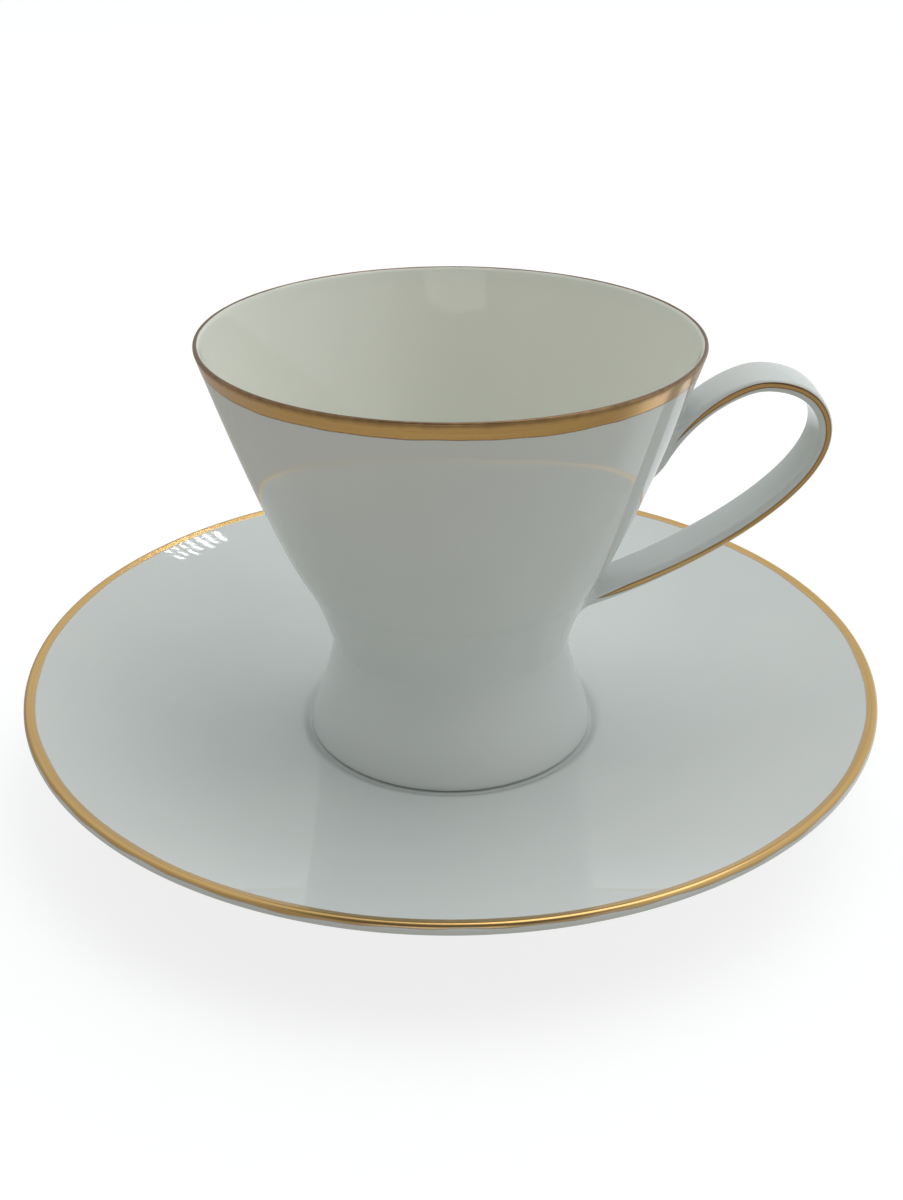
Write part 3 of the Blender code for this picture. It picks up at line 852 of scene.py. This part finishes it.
def side_distance(x, z, points):
    """Signed distance from the line in its own plane, above 0 on the loop's outside."""
    best = np.full(x.shape, np.inf)
    signed = np.zeros(x.shape)
    for start, end in zip(points[:-1], points[1:]):
        along = end - start
        length = along @ along
        share = np.clip(((x - start[0]) * along[0] + (z - start[1]) * along[1]) / length, 0.0, 1.0)
        away_x = x - start[0] - share * along[0]
        away_z = z - start[1] - share * along[1]
        distance = np.hypot(away_x, away_z)
        side = np.where(along[0] * away_z - along[1] * away_x >= 0.0, 1.0, -1.0)
        nearer = distance < best
        best = np.where(nearer, distance, best)
        signed = np.where(nearer, side * distance, signed)
    return signed


WALL_PROFILE = bowl_outside()[::-1]
WALL_TILT = np.cos(np.arctan(np.gradient(WALL_PROFILE[:, 0], WALL_PROFILE[:, 1])))


def wall_distance(x, y, z):
    """Distance outside the bowl's wall, true close to it."""
    radius = np.interp(z, WALL_PROFILE[:, 1], WALL_PROFILE[:, 0])
    tilt = np.interp(z, WALL_PROFILE[:, 1], WALL_TILT)
    return (np.hypot(x, y) - radius) * tilt


def strap_distance(side, y):
    """Distance from the strap's surface, from the distance beside its line and the place across it."""
    crown = STRAP_CROWN * (1.0 - np.clip(np.abs(y) / STRAP_HALF_WIDTH, 0.0, 1.0) ** 2)
    thick = np.abs(side) - (STRAP_HALF_THICKNESS + crown - STRAP_CORNER)
    wide = np.abs(y) - (STRAP_HALF_WIDTH - STRAP_CORNER)
    outside = np.hypot(np.maximum(thick, 0.0), np.maximum(wide, 0.0))
    return outside + np.minimum(np.maximum(thick, wide), 0.0) - STRAP_CORNER


def span_distance(z, span):
    """Distance outside a stretch of height, below 0 within it."""
    low, top = span
    return np.abs(z - (top + low) / 2) - (top - low) / 2


def handle_field(side, x, y, z):
    """Below 0 inside the handle, its roots flowing into the wall like wiped slip.

    Round each root a skin runs on just under the bowl's glaze, so that the fillet's thin edge
    dips out of sight.  The last line ends that skin a little way from the strap.
    """
    strap = strap_distance(side, y)
    wall = wall_distance(x, y, z)
    sunk_wall = wall + SKIN_SINK + SKIN_DIVE * np.clip(strap / FILLET - 1.0, 0.0, 1.0)
    near = np.maximum(FILLET - np.abs(strap - sunk_wall), 0.0) / FILLET
    joined = np.minimum(strap, sunk_wall) - near * near * FILLET / 4
    under_skin = -wall - SKIN_DEPTH
    by_height = np.minimum(span_distance(z, LOW_ROOT_SPAN), span_distance(z, TOP_ROOT_SPAN))
    patch = np.maximum(np.abs(y) - STRAP_HALF_WIDTH - SKIN_SPREAD, by_height)
    return np.maximum(np.maximum(joined, under_skin), np.minimum(strap, patch))


def surface_of(field, origin, pitch):
    """A closed mesh of quads round the places below 0, one vertex in each cell that is crossed."""
    inside = field < 0.0
    shape = np.array(field.shape) - 1
    corners = [(i, j, k) for i in (0, 1) for j in (0, 1) for k in (0, 1)]
    edges = [(a, b) for a in range(8) for b in range(a + 1, 8)
             if sum(abs(p - q) for p, q in zip(corners[a], corners[b])) == 1]

    def corner(values, at):
        return values[at[0]:at[0] + shape[0], at[1]:at[1] + shape[1], at[2]:at[2] + shape[2]]

    total = np.zeros((*shape, 3))
    crossings = np.zeros(shape)
    for a, b in edges:
        first, second = corner(field, corners[a]), corner(field, corners[b])
        crossed = corner(inside, corners[a]) != corner(inside, corners[b])
        share = np.where(crossed, first / np.where(crossed, first - second, 1.0), 0.0)
        for axis in range(3):
            place = corners[a][axis] + share * (corners[b][axis] - corners[a][axis])
            total[..., axis] += np.where(crossed, place, 0.0)
        crossings += crossed
    used = crossings > 0
    cells = np.argwhere(used)
    number = np.full(shape, -1)
    number[used] = np.arange(len(cells))
    vertices = origin + (cells + total[used] / crossings[used][:, None]) * pitch

    faces = []
    for axis in range(3):
        u, v = (axis + 1) % 3, (axis + 2) % 3
        low = np.argwhere(np.diff(inside.astype(np.int8), axis=axis) != 0)
        low = low[(low[:, u] > 0) & (low[:, v] > 0) & (low[:, u] < shape[u]) & (low[:, v] < shape[v])]
        ring = []
        for du, dv in ((0, 0), (1, 0), (1, 1), (0, 1)):
            cell = low.copy()
            cell[:, u] -= du
            cell[:, v] -= dv
            ring.append(number[cell[:, 0], cell[:, 1], cell[:, 2]])
        quads = np.stack(ring, axis=1)
        leaving = inside[low[:, 0], low[:, 1], low[:, 2]]
        quads[~leaving] = quads[~leaving][:, ::-1]
        faces.append(quads)
    return vertices, np.concatenate(faces)


def field_at(points, path):
    side = side_distance(points[..., 0], points[..., 2], path)
    return handle_field(side, points[..., 0], points[..., 1], points[..., 2])


def settle(points, path, rounds, longest):
    """Points moved onto the handle's surface, and the unit normals there."""
    reach = 0.02 * MM
    flattest = 0.25
    for _ in range(rounds):
        slopes = []
        for axis in np.eye(3):
            change = field_at(points + reach * axis, path) - field_at(points - reach * axis, path)
            slopes.append(change / (2 * reach))
        slope = np.stack(slopes, axis=-1)
        steep = np.maximum((slope ** 2).sum(axis=-1), flattest)[..., None]
        move = -field_at(points, path)[..., None] / steep * slope
        points = points + np.clip(move, -longest, longest)
    return points, slope / np.sqrt(steep)


def make_handle():
    """The strap with its filleted roots; gives back its middle line."""
    path = smooth_line(strap_line(), rounds=12)
    low = np.array([BLOCK_REACH[0], -BLOCK_SIDE, BLOCK_HEIGHT[0]])
    high = np.array([BLOCK_REACH[1], BLOCK_SIDE, BLOCK_HEIGHT[1]])
    counts = np.ceil((high - low) / VOXEL).astype(int) + 1
    xs, ys, zs = (low[axis] + np.arange(counts[axis]) * VOXEL for axis in range(3))
    flat_x, flat_z = np.meshgrid(xs, zs, indexing="ij")
    side = side_distance(flat_x, flat_z, path)[:, None, :]
    field = handle_field(side, xs[:, None, None], ys[None, :, None], zs[None, None, :])
    vertices, faces = surface_of(field, low, VOXEL)
    vertices, facing = settle(vertices, path, rounds=3, longest=VOXEL / 3)

    handle = new_mesh_object("handle_porcelain", vertices, faces)
    handle.data.normals_split_custom_set_from_vertices([tuple(normal) for normal in facing])
    add_mark(handle, "bare", np.zeros(len(vertices)))
    add_mark(handle, "inside", np.zeros(len(vertices)))
    handle.data.materials.append(porcelain("handle_glaze"))
    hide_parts("cup_handle")
    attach(handle, "cup")
    return path


def make_handle_line(path, name, node, towards):
    """The gold line on one edge of the strap; towards is -1 for the front edge and 1 for the back."""
    run = lengths_along(path)
    outward = normals_of(path)
    first, last = run[-1] * LINE_START, run[-1] * LINE_STOP
    stations = np.linspace(first, last, LINE_ROWS)
    middle_x, middle_z = (np.interp(stations, run, path[:, axis])[:, None] for axis in (0, 1))
    outward_x, outward_z = (np.interp(stations, run, outward[:, axis])[:, None] for axis in (0, 1))
    to_end = np.minimum((stations - first) / LINE_START_TAPER, (last - stations) / LINE_STOP_TAPER)
    fullness = np.clip(to_end, LINE_THINNEST, 1.0)[:, None] ** 0.6
    share = np.linspace(-1.0, 1.0, LINE_COLUMNS)
    along = stations / run[-1]
    drift = LINE_DRIFT * (eased(along, *LINE_DRIFT_BACK) + 1.0 - eased(along, *LINE_DRIFT_OUT))
    turn = LINE_TURN + drift[:, None] + LINE_HALF_ANGLE * fullness * share
    side = STRAP_HALF_THICKNESS - STRAP_CORNER + STRAP_CORNER * np.sin(turn)
    across = STRAP_HALF_WIDTH - STRAP_CORNER + STRAP_CORNER * np.cos(turn)
    start = np.stack([middle_x + outward_x * side, towards * across, middle_z + outward_z * side], axis=-1)
    glaze, normal = settle(start, path, rounds=4, longest=0.3 * MM)

    from_edge = (1.0 - np.abs(share)) * LINE_HALF_WIDTH * fullness
    proud = LINE_FILM_LOW + LINE_FILM_RISE * np.clip(from_edge / LINE_FILM_TAPER, 0.0, 1.0) ** 0.5
    layers = [glaze + normal * proud[..., None], glaze - normal * LINE_FILM_SUNK]
    faces = shell_faces(LINE_ROWS, LINE_COLUMNS, False)
    if towards < 0:
        faces = [face[::-1] for face in faces]
    piece = new_mesh_object(name, np.concatenate([layer.reshape(-1, 3) for layer in layers]), faces)
    # painted shade: the brown edge is widened where the line faces up, a painted dark reflection on top of
    # the edge wear
    facing_up = np.clip(normal[..., 2] * LINE_UPWARD_SHADE_GAIN, -1.0, 1.0)
    worn = from_edge * (LINE_WORN - LINE_UPWARD_PAINTED_SHADE * facing_up)
    place = np.tile(share * LINE_HALF_WIDTH, (LINE_ROWS, 1))
    add_film_marks(piece, from_edge=from_edge, worn=worn, across=place)
    piece.data.materials.append(gold(name + "_gold", tone=0.86, thin_colour=(0.58, 0.47, 0.36)))
    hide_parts(node)
    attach(piece, "cup")


# ------------------------------------------------------------------ camera, floor and light


def make_camera():
    camera = bpy.data.objects.new("camera", bpy.data.cameras.new("camera"))
    bpy.context.scene.collection.objects.link(camera)
    bpy.context.scene.camera = camera
    camera.data.sensor_width = 36.0
    camera.data.lens = 43.12
    camera.data.clip_start = 0.01
    camera.data.clip_end = 50.0
    place = (0.00015, -0.2261, 0.1486)
    below_level = 27.78
    turn = Matrix.Rotation(math.radians(90.0 - below_level), 4, "X")
    camera.matrix_world = Matrix.Translation(place) @ turn


def area_light(name, place, target, size, power, colour):
    lamp = bpy.data.lights.new(name, "AREA")
    lamp.shape = "RECTANGLE"
    lamp.size, lamp.size_y = size
    lamp.energy = power
    lamp.color = colour
    item = bpy.data.objects.new(name, lamp)
    bpy.context.scene.collection.objects.link(item)
    item.location = place
    item.rotation_euler = (Vector(target) - Vector(place)).to_track_quat("-Z", "Y").to_euler()


def make_world():
    """A soft room: brightest overhead to the back right, dim above the viewer, pale low down behind."""
    back_right = Vector((0.28, 0.26, 0.92)).normalized()
    above_viewer = Vector((0.0, -0.68, 0.73)).normalized()
    low_behind = Vector((0.40, 0.78, -0.5)).normalized()
    stops = ((0.0, (0.43, 0.415, 0.38)), (0.34, (0.38, 0.365, 0.325)), (0.58, (0.46, 0.465, 0.44)),
             (0.82, (0.73, 0.755, 0.745)), (1.0, (0.84, 0.875, 0.875)))

    world = bpy.data.worlds.new("studio")
    bpy.context.scene.world = world
    n = Nodes(world)
    background = n.tree.nodes["Background"].inputs
    towards = n.place("Generated")
    spread = n.ranged(n.vector_math("DOT_PRODUCT", towards, back_right), (-1.0, 1.0), (0.0, 1.0))
    sideways = n.part(towards, "X")
    light = n.math("MULTIPLY_ADD", n.math("MULTIPLY", sideways, sideways), 0.10, spread)
    table = n.vector_math("DOT_PRODUCT", towards, low_behind)
    sheen = n.ranged(table, (0.66, 0.95), (0.0, 0.75), "SMOOTHSTEP")
    viewer = n.vector_math("DOT_PRODUCT", towards, above_viewer)
    n.link(n.ranged(viewer, (0.74, 0.94), (1.0, 0.25), "SMOOTHSTEP"), background["Strength"])

    ramp = n.add("ShaderNodeValToRGB")
    elements = ramp.color_ramp.elements
    while len(elements) < len(stops):
        elements.new(0.5)
    for element, (position, colour) in zip(elements, stops):
        element.position = position
        element.color = opaque(colour)
    n.link(n.math("ADD", light, sheen), ramp.inputs[0])
    n.link(ramp.outputs[0], background["Color"])


def make_floor():
    """Pale paper that runs flat round the object and sweeps up behind it on every side."""
    flat_end, turn_out, wall = 2.4, 3.6, 4.2
    turn_up, wall_foot, wall_top = 0.6, 1.8, 5.0
    flat = line((0.0, 0.0), (flat_end, 0.0), 2)
    sweep = bezier((flat_end, 0.0), (turn_out, 0.0), (wall, turn_up), (wall, wall_foot), 2 * CORNER_STEPS)
    profile = chain(flat, sweep, line((wall, wall_foot), (wall, wall_top), 2))[1:]
    turns = 64
    angles = turn_angles(turns)
    rings = [np.stack([r * np.cos(angles), r * np.sin(angles), np.full(turns, z)], axis=1)
             for r, z in profile]
    faces = [tuple(range(turns))]
    for row in range(len(rings) - 1):
        for turn in range(turns):
            following = (turn + 1) % turns
            faces.append((row * turns + turn, (row + 1) * turns + turn,
                          (row + 1) * turns + following, row * turns + following))
    floor = new_mesh_object("floor", np.concatenate(rings), faces)

    material, n, shader = new_material("floor_paper")
    grain = n.noise(n.place(), scale=300.0, detail=3.0)
    n.link(n.mix(grain, *PAPER_SHADES), shader["Base Color"])
    shader["Roughness"].default_value = 0.9
    shader["Emission Color"].default_value = opaque(PAPER_GLOW)
    shader["Emission Strength"].default_value = 0.72
    floor.data.materials.append(material)
    floor.visible_diffuse = False
    floor.visible_glossy = False
    floor.visible_shadow = False


def make_lamps():
    middle = (0.0, 0.0, 0.05)
    area_light("ceiling_lamp", (0.38, 0.14, 1.25), middle, size=(1.15, 0.8), power=3.35,
               colour=(1.0, 0.995, 0.97))
    area_light("doorway", (-0.1, -2.6, 0.72), middle, size=(1.4, 0.9), power=2.9,
               colour=(1.0, 0.99, 0.95))


def make_window():
    """Small panes high over the back, close together, that sparkle on the saucer's far left."""
    azimuth, elevation = math.radians(18.9), math.radians(51.3)
    row_lean, row_stagger, row_step = 0.03, 0.15, 0.66
    column_step, column_closing, column_drop = 0.74, 0.06, 0.2
    distance = 1.2
    mark = Vector((-0.0536, 0.0468, 0.0179))
    for row in range(7):
        for column in range(3):
            aside = column * (column_step - column_closing * row)
            turn = azimuth + math.radians(row_lean * row - aside + (row % 2) * row_stagger)
            rise = elevation + math.radians(row * row_step - column * column_drop)
            out = Vector((math.sin(turn) * math.cos(rise), math.cos(turn) * math.cos(rise), math.sin(rise)))
            area_light(f"pane_{row}_{column}", mark + out * distance, mark, size=(0.0054, 0.0058),
                       power=0.0015, colour=(1.0, 1.0, 1.0))


bpy.context.scene.view_settings.view_transform = "Standard"
make_camera()
make_world()
make_floor()
make_lamps()
make_window()
make_saucer()
make_saucer_line()
make_cup()
make_lip_line()
handle_path = make_handle()
make_handle_line(handle_path, "handle_gold_front", "handle_gilding_front", -1)
make_handle_line(handle_path, "handle_gold_back", "handle_gilding_back", 1)
